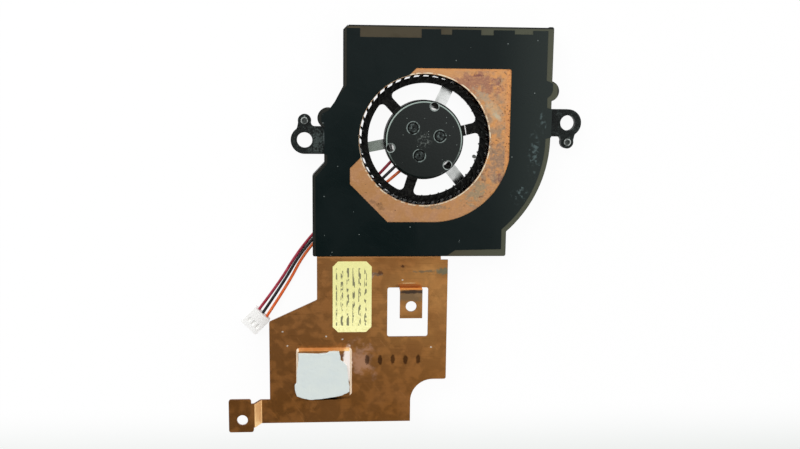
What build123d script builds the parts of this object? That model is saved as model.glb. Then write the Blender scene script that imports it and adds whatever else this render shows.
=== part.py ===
from build123d import *

import os
from math import cos, degrees, pi, radians, sin, tan

# Laptop cooling blower with a copper heat-spreader plate, in millimetres.
# It lies on its steel far cover: origin on the fan axis at the far face, +Y towards the exhaust.

# Sheet thicknesses and levels
base_t = 0.4
wall_h = 5.1
sheet_t = 0.5
film_t = 0.1
paper_t = 0.1
slip = 0.02
cover_z = base_t + wall_h
cover_top = cover_z + sheet_t
joggle = 0.5
plate_z = cover_z + joggle
plate_top = plate_z + sheet_t

# Casing outline, seen from the circuit board's side
left_x = -24.65
waist_x = -22.05
upper_left_x = -17.9
right_x = 28.15
step_x = 18.8
top_y = 24.8
shoulder_y = 11.6
waist_y = -5.2
hip_y = -8.0
bottom_y = -26.05
scroll_top_y = 0.5
scroll_r = 28.1
corner_cut = 1.15
corner_r = 0.45
lobe_r = 2.25
left_lobe = (-21.27, 4.65)
right_lobe = (27.5, 10.95)
lobe_tangent = 70

# Frame
wall = 1.0
sill_h = 0.5
volute_wall = 0.8
volute_bow = (-15.9, -17.0)
volute_end_x = 2.0
stake_r = 0.7
stake_boss_r = 1.3
stake_clearance = 0.05
boss_left_x = -14.5
wire_slot_w = 4.6
wire_slot_h = 1.2
wire_slot_angle = 40
wire_slot_mid = (-20.6, -19.7)
wire_slot_l = 15.2

# Ears
ear_step = 1.5
ear_t = 1.6
ear_ring_r = 3.05
ear_hole_r = 1.72
ear_lobe_r = 1.45
ear_lobe_step = 4.3
ear_blend = 0.8
left_ear = (-26.4, -0.3)
right_ear = (32.5, 3.95)
pin_r = 0.8
pin_proud = 0.4
pin_sink = 0.7
pin_dimple_r = 0.4
pin_dimple = 0.3

# Openings for air
inlet_r = 14.4
far_inlet_r = 14.2
motor_disc_r = 8.8
struts = ((65, 2.7), (191.4, 2.3), (309.3, 2.7))
strut_meet = (0.5, 0.6)
cover_inset = 0.2

# Motor
shaft_r = 0.75
running_gap = 0.05
sleeve_r = 1.55
sleeve_flange_r = 2.2
sleeve_flange_t = 0.4
sleeve_room = 0.4
thrust_t = 0.2
board_r = 6.6
board_gap = 0.2
chip_l = 2.4
chip_w = 1.8
chip_h = 0.4
chip_place_r = 4.6
sensor_l = 1.4
sensor_w = 1.0
sensor_place_r = 5.2
board_t = 0.3
board_room = 0.08
core_r = 5.3
core_hub_r = 2.7
pole_count = 6
pole_w = 1.0
pole_tip_t = 0.5
pole_gap = 14
coil_t = 0.45
coil_start_r = 3.1
insulator_t = 0.2
magnet_gap = 0.35
magnet_t = 0.8
yoke_wall = 0.4
yoke_clear = 1.3
magnet_room = 0.2
coil_room = 0.38

# Impeller
hub_face_t = 0.5
hub_skirt = 1.0
hub_room = 0.93
hub_clear = 1.2
cover_clear = 0.5
hub_round = 0.65
spoke_count = 3
spoke_w = 2.3
spoke_angle = 13.5
spoke_drop = 0.55
spoke_t = 0.7
spoke_fillet = 1.0
root_reach = 0.65
root_drop = 0.1
root_round = 0.35
ring_in_r = 12.45
ring_w = 1.45
ring_drop = 0.8
ring_t = 0.7
blade_count = 42
blade_t = 0.45
blade_set = 0.25
blade_l = 6.5
blade_clear = 1.1
blade_sweep = 24
blade_bow = 0.15
vent_r = 0.85
vent_edge = 1.12
vent_bevel = 0.18
vent_angle = 73.5
stud_place_r = 3.62
stud_pocket_r = 1.32
stud_boss_r = 0.95
stud_pocket = 0.28
stud_drop = 0.06
stud_dot_r = 0.25
weight_r = 0.4
weight_h = 1.0
weight_angle = -18
weight_gap = 0.05

# Exhaust fins
fin_pitch = 1.4
fin_count = 30
fin_t = 0.2
fin_depth = 3.2
fin_clear = 0.1

# Spreader plate
neck_left_x = -23.7
neck_right_x = 4.0
relief = 0.65
bend_run = 0.4
plate_right_x = 5.6
plate_left_x = -34.38
plate_foot_x = -2.5
chamfer_y = -40.75
chamfer_top_y = -35.77
plate_corner_y = -54.43
plate_bottom_y = -64.4
scoop_r = 5.1
window_w = 9.2
window_l = 11.4
window_x = -3.33
window_top_y = -33.0
window_r = 0.5
tongue_w = 5.0
tongue_x = -2.78
tongue_root = 0.35
tongue_l = 6.8
tongue_hole = 2.7
tab_lift = 2.6
tongue_run = 0.3
bend_r = 0.3
screw_r = 1.2
arm_w = 5.5
arm_l = 1.92
arm_run = 1.25
tab_l = 5.8
tab_side = 1.05
tab_notch = 0.85
tab_hole_in = 3.0
tab_hole_up = 1.75
tab_round = 0.5

# Pedestal and pad
pedestal_x = -22.15
pedestal_y = -52.45
pedestal_w = 12.55
pedestal_l = 11.3
pedestal_h = 1.2
pedestal_run = 0.45
pedestal_round = 0.8
pad_t = 0.5

# Label
label_left_x = -20.2
label_gap = 3.6
label_w = 8.7
label_l = 16.2
label_cut = 1.2

# Films
film_margin = 0.7
film_top_margin = 0.9
film_right_margin = 1.45
film_scroll_margin = 1.25
film_notch = 1.1
film_notch_deep = 1.85
film_hole_gap = 0.1
film_step_margin = 1.2
film_foot = 1.5
window_right_x = 18.9
window_high_y = 15.6
window_low_y = -18.2
window_left_x = -16.4
window_left_y = -8.0
window_left_h = 3.5
window_cut = 8.35
window_nick = 2.4
window_peak_x = -2.0
window_arc_top_y = -4.3
window_arc_foot_x = 1.45
window_arc_r = 17.2

# Wires and plug
wire_r = 0.34
wire_sides = 8
wire_z = base_t + board_t + wire_r + 0.06
plug_pitch = 1.2
plug_w = 4.6
plug_l = 4.6
plug_h = 2.6
plug_angle = 225
plug_face = (-36.19, -39.96)
plug_cell_w = 0.8
plug_cell_h = 1.5
plug_cell_depth = 3.2
plug_rib = 0.35
contact_gap = 0.05


# Levels and radii that follow from the sizes above
ear_z = base_t + ear_step
board_top = base_t + board_t
board_hole_r = sleeve_flange_r + board_gap
hub_top = cover_z - cover_clear
yoke_top = hub_top - hub_face_t
yoke_room_z = yoke_top - yoke_wall
yoke_z = base_t + yoke_clear
sleeve_h = yoke_room_z - sleeve_room - base_t
magnet_h = yoke_room_z - magnet_room - yoke_z
core_z = board_top + chip_h + board_room + coil_t + insulator_t + slip
core_h = yoke_room_z - coil_room - coil_t - insulator_t - slip - core_z
magnet_in_r = core_r + magnet_gap
yoke_in_r = magnet_in_r + magnet_t + slip
yoke_r = yoke_in_r + yoke_wall
hub_r = yoke_r + hub_room + hub_skirt
hub_bottom = base_t + hub_clear
root_r = hub_r + root_reach
root_top = hub_top - root_drop
spoke_top = hub_top - spoke_drop
ring_top = hub_top - ring_drop
ring_out_r = ring_in_r + ring_w
blade_in_r = ring_in_r + blade_set
blade_out_r = blade_in_r + blade_l
blade_bottom = base_t + blade_clear
vent_place_r = hub_r - vent_edge


def polar(radius, angle):
    return (radius * cos(radians(angle)), radius * sin(radians(angle)))


def scroll_y(margin, x):
    """Height at x of the scroll, which runs on from the straight right side, or of a line inside it."""
    return scroll_top_y - ((scroll_r - margin) ** 2 - (x - right_x + scroll_r) ** 2) ** 0.5


def body_outline(inset=0.0):
    """Casing outline without its two round lobes, as a sketch drawn inset from the edge."""
    lobe_dx, lobe_dy = polar(lobe_r, lobe_tangent)
    edge = [
        Vector(right_x, scroll_top_y),
        Vector(right_x, top_y),
        Vector(upper_left_x + corner_cut, top_y),
        Vector(upper_left_x, top_y - corner_cut),
        Vector(upper_left_x, shoulder_y),
        Vector(left_lobe[0] + lobe_dx, left_lobe[1] + lobe_dy),
        Vector(waist_x, left_lobe[1]),
        Vector(waist_x, waist_y),
        Vector(left_x, hip_y),
        Vector(left_x, bottom_y),
        Vector(step_x, bottom_y),
        Vector(step_x, scroll_y(0, step_x)),
    ]
    corners = []
    for before, here, after in zip(edge, edge[1:], edge[2:]):
        inwards = (here - before).normalized().rotate(Axis.Z, 90)
        inwards_next = (after - here).normalized().rotate(Axis.Z, 90)
        corners.append(here + (inwards + inwards_next) * (inset / (1 + inwards.dot(inwards_next))))
    head = Vector(right_x - inset, scroll_top_y)
    foot = Vector(step_x - inset, scroll_y(inset, step_x - inset))
    with BuildSketch() as outline:
        with BuildLine():
            Polyline(head, *corners, foot)
            RadiusArc(foot, head, inset - scroll_r)
        make_face()
        if inset < corner_r:
            for corner in ((right_x, top_y), (step_x, bottom_y), (left_x, bottom_y)):
                fillet(outline.vertices().sort_by_distance(corner)[0], corner_r - inset)
    return outline.sketch


def casing_outline(inset=0.0):
    """Casing outline with its lobes."""
    with BuildSketch() as outline:
        add(body_outline(inset))
        with Locations(left_lobe, right_lobe):
            Circle(lobe_r - inset)
    return outline.sketch


def film_window():
    """Opening in the films: the inlet, and the area of bare copper round it."""
    with BuildSketch() as opening:
        with BuildLine():
            Polyline(
                (window_right_x, window_arc_top_y),
                (window_right_x, window_high_y),
                (window_peak_x, window_high_y),
                (window_peak_x - window_nick, window_high_y - window_nick),
                (0, 0),
                (window_left_x + window_nick, window_left_y + window_left_h / 2 + window_nick),
                (window_left_x, window_left_y + window_left_h / 2),
                (window_left_x, window_left_y - window_left_h / 2),
                (window_left_x + window_cut, window_low_y),
                (window_arc_foot_x, window_low_y),
            )
            RadiusArc((window_arc_foot_x, window_low_y), (window_right_x, window_arc_top_y), -window_arc_r)
        make_face()
        fillet(opening.vertices().sort_by_distance((window_right_x, window_high_y))[0], corner_r)
        Circle(inlet_r + film_hole_gap)
    return opening.sketch


stake_places = (
    left_lobe,
    right_lobe,
    (boss_left_x, bottom_y + wall + stake_r),
    (step_x - wall - stake_r, bottom_y + wall + stake_r),
)

# Black moulded side wall with ears, lobes, scroll wall, stakes and wire slot
with BuildPart() as fan_frame:
    with BuildSketch(Plane.XY.offset(base_t)):
        add(casing_outline())
        add(body_outline(wall), mode=Mode.SUBTRACT)
        with Locations(left_lobe, right_lobe):
            Circle(lobe_r)
        with Locations(*stake_places[2:]):
            Circle(stake_boss_r)
    extrude(amount=wall_h)
    with BuildSketch(Plane.XY.offset(base_t)):
        with BuildLine() as volute:
            ThreePointArc((waist_x + wall / 2, waist_y + wall), volute_bow, (volute_end_x, bottom_y + wall / 2))
        trace(volute.line, line_width=volute_wall)
    extrude(amount=wall_h)
    outlet_w = right_x - upper_left_x - 2 * wall
    with BuildSketch(Plane.XY.offset(base_t + sill_h)):
        with Locations(((right_x + upper_left_x) / 2, top_y - wall / 2)):
            Rectangle(outlet_w, 2 * wall)
    extrude(amount=wall_h - sill_h, mode=Mode.SUBTRACT)
    with BuildSketch(Plane.XY.offset(base_t)):
        with Locations(Location((*wire_slot_mid, 0), wire_slot_angle)):
            Rectangle(wire_slot_l, wire_slot_w)
    extrude(amount=wire_slot_h, mode=Mode.SUBTRACT)
    with BuildSketch(Plane.XY.offset(ear_z)) as ears:
        for ear, edge_x, side in ((left_ear, waist_x, 1), (right_ear, right_x, -1)):
            with Locations(ear):
                Circle(ear_ring_r)
            reach = abs(edge_x - ear[0]) + wall / 2
            with Locations((ear[0] + side * reach / 2, ear[1])):
                Rectangle(reach, 2 * ear_ring_r)
            with Locations((ear[0], ear[1] + side * ear_lobe_step)):
                Circle(ear_lobe_r)
            with BuildLine():
                Polyline(
                    (ear[0] - ear_ring_r * 0.72, ear[1]),
                    (ear[0] - ear_lobe_r * 0.9, ear[1] + side * ear_lobe_step),
                    (ear[0] + ear_lobe_r * 0.9, ear[1] + side * ear_lobe_step),
                    (ear[0] + ear_ring_r * 0.72, ear[1]),
                    close=True,
                )
            make_face()
        for ear, side in ((left_ear, 1), (right_ear, -1)):
            for corner in ((side * ear_lobe_r, side * ear_ring_r), (-side * ear_lobe_r, side * ear_ring_r)):
                place = (ear[0] + corner[0], ear[1] + corner[1])
                fillet(ears.vertices().sort_by_distance(place)[0], ear_blend)
    extrude(amount=ear_t)
    with Locations((*left_ear, ear_z), (*right_ear, ear_z)):
        Cylinder(ear_hole_r, 4 * ear_t, mode=Mode.SUBTRACT)
    with Locations(
        (left_ear[0], left_ear[1] + ear_lobe_step, ear_z),
        (right_ear[0], right_ear[1] - ear_lobe_step, ear_z),
    ):
        Cylinder(pin_r + slip / 2, 4 * ear_t, mode=Mode.SUBTRACT)
    with BuildSketch(Plane.XY.offset(slip)):
        with Locations(*stake_places):
            Circle(stake_r)
    extrude(amount=cover_top - 2 * slip)

# Plain metal pins, one through each ear's lobe
with BuildPart() as locating_pins:
    with BuildSketch(Plane.XY.offset(ear_z - pin_sink)):
        with Locations((left_ear[0], left_ear[1] + ear_lobe_step), (right_ear[0], right_ear[1] - ear_lobe_step)):
            Circle(pin_r)
    extrude(amount=pin_sink + ear_t + pin_proud)
    with BuildSketch(Plane.XY.offset(ear_z + ear_t + pin_proud)):
        with Locations((left_ear[0], left_ear[1] + ear_lobe_step), (right_ear[0], right_ear[1] - ear_lobe_step)):
            Circle(pin_dimple_r)
    extrude(amount=-pin_dimple, mode=Mode.SUBTRACT)

# Stamped far cover with its inlet, motor disc and struts
with BuildPart() as base_plate:
    with BuildSketch():
        add(casing_outline(cover_inset))
        Circle(far_inlet_r, mode=Mode.SUBTRACT)
        Circle(motor_disc_r)
        for angle, strut_w in struts:
            strut_x, strut_y = polar(far_inlet_r / 2 + wall, angle)
            with Locations(Location((strut_x + strut_meet[0], strut_y + strut_meet[1], 0), angle)):
                Rectangle(far_inlet_r, strut_w)
        with Locations(*stake_places):
            Circle(stake_r + stake_clearance, mode=Mode.SUBTRACT)
    extrude(amount=base_t)

# Sintered sleeve on the motor disc, and the wear pad under the shaft
with BuildPart() as bearing_sleeve:
    with BuildSketch(Plane.XY.offset(base_t)):
        Circle(sleeve_flange_r)
        Circle(shaft_r + running_gap, mode=Mode.SUBTRACT)
    extrude(amount=sleeve_flange_t)
    with BuildSketch(Plane.XY.offset(base_t)):
        Circle(sleeve_r)
        Circle(shaft_r + running_gap, mode=Mode.SUBTRACT)
    extrude(amount=sleeve_h)

with BuildPart() as thrust_pad:
    with BuildSketch(Plane.XY.offset(base_t)):
        Circle(shaft_r)
    extrude(amount=thrust_t)

# Round circuit board under the stator, with its chip and Hall sensor
with BuildPart() as motor_board:
    with BuildSketch(Plane.XY.offset(base_t)):
        Circle(board_r)
        Circle(board_hole_r, mode=Mode.SUBTRACT)
    extrude(amount=board_t)

with BuildPart() as board_parts:
    with BuildSketch(Plane.XY.offset(board_top)):
        with Locations(Location((*polar(chip_place_r, 60), 0), 150)):
            Rectangle(chip_l, chip_w)
        with Locations(Location((*polar(sensor_place_r, 150), 0), 60)):
            Rectangle(sensor_l, sensor_w)
    extrude(amount=chip_h)

# Laminated six-pole core, its moulded insulator and the windings
with BuildPart() as stator_core:
    with BuildSketch(Plane.XY.offset(core_z)):
        Circle(core_r)
        Circle(core_r - pole_tip_t, mode=Mode.SUBTRACT)
        for index in range(pole_count):
            angle = (index + 0.5) * 360 / pole_count
            with Locations(Location((*polar(core_r, angle), 0), angle)):
                Rectangle(2 * core_r * sin(radians(pole_gap)), core_r * sin(radians(pole_gap)), mode=Mode.SUBTRACT)
        Circle(core_hub_r)
        with PolarLocations((core_r - pole_tip_t / 2) / 2, pole_count):
            Rectangle(core_r - pole_tip_t / 2, pole_w)
        Circle(sleeve_r + slip, mode=Mode.SUBTRACT)
    extrude(amount=core_h)

with BuildPart() as stator_insulator:
    for level in (core_z - insulator_t, core_z + core_h):
        with BuildSketch(Plane.XY.offset(level)):
            Circle(core_hub_r)
            with PolarLocations((core_r - pole_tip_t) / 2, pole_count):
                Rectangle(core_r - pole_tip_t, pole_w)
            Circle(sleeve_r + slip, mode=Mode.SUBTRACT)
        extrude(amount=insulator_t)

coil_inner_w = pole_w + 2 * slip
coil_end_r = ((core_r - pole_tip_t) ** 2 - (coil_inner_w / 2 + coil_t) ** 2) ** 0.5 - slip
coil_inner_h = core_h + 2 * insulator_t + 2 * slip
with BuildPart() as stator_coils:
    for index in range(pole_count):
        angle = index * 360 / pole_count
        facing = Plane(
            origin=(*polar(coil_start_r, angle), core_z + core_h / 2),
            x_dir=(-sin(radians(angle)), cos(radians(angle)), 0),
            z_dir=(*polar(1, angle), 0),
        )
        with BuildSketch(facing) as winding:
            Rectangle(coil_inner_w + 2 * coil_t, coil_inner_h + 2 * coil_t)
            chamfer(winding.vertices(), coil_t / 2)
            Rectangle(coil_inner_w, coil_inner_h, mode=Mode.SUBTRACT)
        extrude(amount=coil_end_r - coil_start_r)

# Rotor: shaft, drawn steel yoke and magnet ring
with BuildPart() as shaft:
    with BuildSketch(Plane.XY.offset(base_t + thrust_t + slip)):
        Circle(shaft_r)
    extrude(amount=yoke_top - base_t - thrust_t - slip)
    chamfer(shaft.edges().sort_by(Axis.Z)[0], shaft_r / 5)

with BuildPart() as rotor_yoke:
    with BuildSketch(Plane.XY.offset(yoke_z)):
        Circle(yoke_r)
    extrude(amount=yoke_top - yoke_z)
    with BuildSketch(Plane.XY.offset(yoke_z)):
        Circle(yoke_in_r)
    extrude(amount=yoke_room_z - yoke_z, mode=Mode.SUBTRACT)
    with BuildSketch(Plane.XY.offset(yoke_z)):
        Circle(shaft_r + slip / 2)
    extrude(amount=yoke_top - yoke_z, mode=Mode.SUBTRACT)

with BuildPart() as magnet_ring:
    with BuildSketch(Plane.XY.offset(yoke_z)):
        Circle(magnet_in_r + magnet_t)
        Circle(magnet_in_r, mode=Mode.SUBTRACT)
    extrude(amount=magnet_h)

# Moulded impeller: hub, spokes, ring and backward-leaning blades
vent_angles = [vent_angle + index * 360 / spoke_count for index in range(spoke_count)]
spoke_angles = [spoke_angle + index * 360 / spoke_count for index in range(spoke_count)]
with BuildPart() as hub:
    with BuildSketch(Plane.XZ):
        with BuildLine():
            Polyline(
                (0, hub_bottom),
                (hub_r, hub_bottom),
                (hub_r, hub_top - hub_round),
                (hub_r - hub_round * 0.13, hub_top - hub_round * 0.5),
                (hub_r - hub_round * 0.5, hub_top - hub_round * 0.13),
                (hub_r - hub_round, hub_top),
                (0, hub_top),
                close=True,
            )
        make_face()
    revolve(axis=Axis.Z)
    with BuildSketch(Plane.XY.offset(hub_bottom)):
        Circle(hub_r - hub_skirt)
    extrude(amount=yoke_top - hub_bottom, mode=Mode.SUBTRACT)
    with BuildSketch(Plane.XY.offset(yoke_top)):
        with PolarLocations(vent_place_r, spoke_count, start_angle=vent_angle):
            Circle(vent_r)
    extrude(amount=hub_face_t, mode=Mode.SUBTRACT)
    with BuildSketch(Plane.XY.offset(hub_top)):
        with PolarLocations(vent_place_r, spoke_count, start_angle=vent_angle):
            Circle(vent_r + vent_bevel)
    extrude(amount=-vent_bevel, taper=45, mode=Mode.SUBTRACT)
    with BuildSketch(Plane.XY.offset(hub_top - stud_pocket)):
        with PolarLocations(stud_place_r, spoke_count, start_angle=spoke_angle):
            Circle(stud_pocket_r)
    extrude(amount=stud_pocket, mode=Mode.SUBTRACT)
    with BuildSketch(Plane.XY.offset(hub_top - stud_pocket)):
        with PolarLocations(stud_place_r, spoke_count, start_angle=spoke_angle):
            Circle(stud_boss_r)
            Circle(stud_dot_r, mode=Mode.SUBTRACT)
    extrude(amount=stud_pocket - stud_drop)
    with BuildSketch(Plane.XY.offset(spoke_top - spoke_t)) as spider:
        Circle(ring_out_r)
        Circle(ring_in_r, mode=Mode.SUBTRACT)
        spoke_l = ring_in_r - hub_r + wall
        with PolarLocations((ring_in_r + hub_r) / 2, spoke_count, start_angle=spoke_angle):
            Rectangle(spoke_l, spoke_w)
        inside = spider.vertices().filter_by(lambda v: abs(Vector(v).length - ring_in_r) < slip)
        fillet(inside, spoke_fillet)
        Circle(hub_r - hub_skirt / 2, mode=Mode.SUBTRACT)
    extrude(amount=spoke_t)
    with BuildSketch(Plane.XY.offset(spoke_top)):
        Circle(ring_out_r + slip)
        Circle(ring_in_r - 2 * spoke_fillet, mode=Mode.SUBTRACT)
    extrude(amount=ring_top - spoke_top, mode=Mode.SUBTRACT)

# Ribs across the spoke roots, each with a rounded outer edge
root_l = root_r - hub_r + hub_skirt / 2
with BuildPart() as spoke_root:
    with BuildSketch(Plane.XZ):
        with Locations((root_r - root_l / 2, (root_top + spoke_top - spoke_t) / 2)):
            Rectangle(root_l, root_top - spoke_top + spoke_t)
    extrude(amount=spoke_w / 2, both=True)
    fillet(spoke_root.edges().filter_by(Axis.Y).group_by(Axis.Z)[-1].sort_by(Axis.X)[-1], root_round)

blade_steps = 2
blade_places = []
for step in range(blade_steps + 1):
    share = step / blade_steps
    swept = blade_sweep * (1 + blade_bow * (1 - share)) * share
    blade_places.append(polar(blade_in_r + share * (blade_out_r - blade_in_r), -swept))
with BuildPart() as blade:
    with BuildSketch(Plane.XY.offset(blade_bottom)):
        with BuildLine() as lean:
            Polyline(*blade_places)
        trace(lean.line, line_width=blade_t)
    extrude(amount=hub_top - blade_bottom)

with BuildPart() as impeller:
    add(hub.part)
    with PolarLocations(0, spoke_count, start_angle=spoke_angle):
        add(spoke_root.part)
    with PolarLocations(0, blade_count, start_angle=spoke_angle):
        add(blade.part)

# Small balancing dab at the ring's inner edge
with BuildPart() as balance_weight:
    with BuildSketch(Plane.XY.offset(ring_top - weight_h)):
        with Locations(polar(ring_in_r - weight_gap - weight_r, weight_angle)):
            Circle(weight_r)
    extrude(amount=weight_h)

# Folded fins across the exhaust, soldered under the cover
fin_bottom = base_t + sill_h
fin_h = cover_z - fin_bottom - slip
fin_right_x = right_x - wall - fin_clear
fin_front_y = top_y - wall - fin_clear
with BuildPart() as fin_stack:
    with BuildSketch(Plane.XZ.offset(-fin_front_y)):
        for index in range(fin_count):
            fin_x = fin_right_x - fin_t / 2 - index * fin_pitch
            with Locations((fin_x, fin_bottom + slip + fin_h / 2)):
                Rectangle(fin_t, fin_h)
            if index < fin_count - 1:
                link_z = cover_z - fin_t / 2 if index % 2 == 0 else fin_bottom + slip + fin_t / 2
                with Locations((fin_x - fin_pitch / 2, link_z)):
                    Rectangle(fin_pitch + fin_t, fin_t)
    extrude(amount=fin_depth)

# Copper sheet: cover, joggle, spreader plate, pedestal, window, tongue and arm tab
pedestal_taper = degrees(pedestal_run / pedestal_h)
pedestal_top = plate_top + pedestal_h
tab_z = plate_z + tab_lift
tab_top = tab_z + sheet_t
arm_y = plate_bottom_y + arm_w / 2
arm_top_y = plate_bottom_y + arm_w
arm_end_x = plate_left_x - arm_l
tab_right_x = arm_end_x - arm_run - tab_notch
tab_left_x = arm_end_x - arm_run - tab_l
tab_foot_x = arm_end_x - arm_run - bend_r
tab_hole = (tab_left_x + tab_hole_in, plate_bottom_y + tab_hole_up)
tongue_root_y = window_top_y + tongue_root
tongue_end_y = tongue_root_y - tongue_l
tongue_hole_y = tongue_end_y + tongue_hole


def raised_tab(root, run, end, flat):
    """Outline of a sheet that steps up by the tab lift and runs on, as (distance, height) points."""
    slope = run / tab_lift
    shift = sheet_t * (1 + slope ** 2) ** 0.5
    return [
        (root + flat, plate_top),
        (root, plate_top),
        (root - run, tab_top),
        (end, tab_top),
        (end, tab_z),
        (root - run - shift + slope * sheet_t, tab_z),
        (root - shift + slope * sheet_t, plate_z),
        (root + flat, plate_z),
    ]


with BuildPart() as copper_plate:
    with BuildSketch(Plane.XY.offset(cover_z)):
        add(casing_outline(cover_inset))
        Circle(inlet_r, mode=Mode.SUBTRACT)
        with Locations(*stake_places):
            Circle(stake_r + stake_clearance, mode=Mode.SUBTRACT)
    extrude(amount=sheet_t)
    bend_y = bottom_y + bend_run
    with BuildSketch(Plane.YZ.offset(neck_left_x)):
        with BuildLine():
            Polyline(
                (bend_y, cover_top),
                (bottom_y + bend_run / 2, cover_top),
                (bottom_y - bend_run / 2, plate_top),
                (bottom_y - relief, plate_top),
                (bottom_y - relief, plate_z),
                (bottom_y - bend_run, plate_z),
                (bottom_y, cover_z),
                (bend_y, cover_z),
                close=True,
            )
        make_face()
    extrude(amount=neck_right_x - neck_left_x)
    with BuildSketch(Plane.XY.offset(plate_z)) as plate:
        plate_head_y = bottom_y - relief
        with BuildLine():
            Polyline(
                (plate_foot_x, plate_corner_y - scoop_r),
                (plate_foot_x, plate_bottom_y),
                (arm_end_x, plate_bottom_y),
                (arm_end_x, arm_top_y),
                (plate_left_x, arm_top_y),
                (plate_left_x, chamfer_y),
                (neck_left_x, chamfer_top_y),
                (neck_left_x, plate_head_y),
                (plate_right_x, plate_head_y),
                (plate_right_x, plate_corner_y),
                (plate_foot_x + scoop_r, plate_corner_y),
            )
            RadiusArc((plate_foot_x + scoop_r, plate_corner_y), (plate_foot_x, plate_corner_y - scoop_r), -scoop_r)
        make_face()
        for corner in ((plate_left_x, chamfer_y), (neck_left_x, chamfer_top_y), (plate_right_x, plate_corner_y)):
            fillet(plate.vertices().sort_by_distance(corner)[0], corner_r)
        with Locations((window_x, window_top_y - window_l / 2)):
            RectangleRounded(window_w, window_l, window_r, mode=Mode.SUBTRACT)
    extrude(amount=sheet_t)
    with BuildSketch(Plane.XY.offset(plate_top)):
        with Locations((pedestal_x, pedestal_y)):
            RectangleRounded(pedestal_w, pedestal_l, pedestal_round)
    extrude(amount=pedestal_h, taper=pedestal_taper)
    with BuildSketch(Plane.XY.offset(plate_z)):
        with Locations((pedestal_x, pedestal_y)):
            RectangleRounded(pedestal_w - 2 * sheet_t, pedestal_l - 2 * sheet_t, pedestal_round - sheet_t / 2)
    extrude(amount=pedestal_h, taper=pedestal_taper, mode=Mode.SUBTRACT)
    with BuildSketch(Plane.YZ.offset(tongue_x - tongue_w / 2)) as tongue_side:
        with BuildLine():
            Polyline(*raised_tab(tongue_root_y, tongue_run, tongue_end_y, joggle), close=True)
        make_face()
        corners = tongue_side.vertices().sort_by(Axis.Y)
        fillet([v for v in corners if tongue_end_y + slip < v.Y < tongue_root_y + slip], bend_r)
    extrude(amount=tongue_w)
    with BuildSketch(Plane.XZ.offset(-arm_top_y)) as arm_side:
        with BuildLine():
            Polyline(*raised_tab(arm_end_x, arm_run, tab_right_x, joggle), close=True)
        make_face()
        fillet([v for v in arm_side.vertices() if tab_right_x + slip < v.X < arm_end_x + slip], bend_r)
    extrude(amount=arm_w)
    with BuildSketch(Plane.XY.offset(tab_z)) as tab:
        with Locations(((tab_left_x + tab_right_x) / 2, arm_y)):
            RectangleRounded(tab_right_x - tab_left_x, arm_w + 2 * tab_side, tab_round)
        with Locations(((tab_left_x + tab_foot_x) / 2, plate_bottom_y + (arm_w / 2 - tab_side) / 2)):
            RectangleRounded(tab_foot_x - tab_left_x, arm_w / 2 + tab_side, tab_round)
    extrude(amount=sheet_t)
    with Locations((tongue_x, tongue_hole_y, tab_z), (*tab_hole, tab_z)):
        Cylinder(screw_r, 4 * sheet_t, mode=Mode.SUBTRACT)

# Hand-cut silicone pad with uneven edges and one torn corner, drawn in shares of the pedestal's half size
with BuildPart() as thermal_pad:
    with BuildSketch(Plane(origin=(pedestal_x, pedestal_y, pedestal_top))):
        with BuildLine():
            Polyline(
                *[
                    (across * pedestal_w / 2, along * pedestal_l / 2)
                    for across, along in (
                        (-0.91, 0.86), (-0.91, 0.59), (-0.93, 0.35), (-0.97, 0.08), (-0.98, -0.34), (-1.05, -0.46),
                        (-1.04, -0.65), (-0.97, -0.92), (-0.75, -1.0), (-0.51, -1.07), (-0.11, -1.04), (0.32, -0.97),
                        (0.64, -0.9), (0.83, -0.8), (0.91, -0.73), (0.92, -0.55), (0.88, -0.37), (0.84, 0.12),
                        (0.81, 0.33), (0.72, 0.45), (0.59, 0.57), (0.58, 0.72), (0.53, 0.93), (0.21, 0.92),
                        (0.11, 0.86), (-0.19, 0.83), (-0.5, 0.84),
                    )
                ],
                close=True,
            )
        make_face()
    extrude(amount=pad_t)

label_y = pedestal_y + (pedestal_l + label_l) / 2 + label_gap
with BuildPart() as label:
    with BuildSketch(Plane.XY.offset(plate_top)) as label_face:
        with Locations((label_left_x + label_w / 2, label_y)):
            Rectangle(label_w, label_l)
        chamfer(label_face.vertices(), label_cut)
    extrude(amount=paper_t)

# Smoky backing film, to the casing's edge
with BuildPart() as film_backing:
    with BuildSketch(Plane.XY.offset(cover_top)):
        add(casing_outline(cover_inset))
        add(film_window(), mode=Mode.SUBTRACT)
    extrude(amount=film_t)

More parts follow.
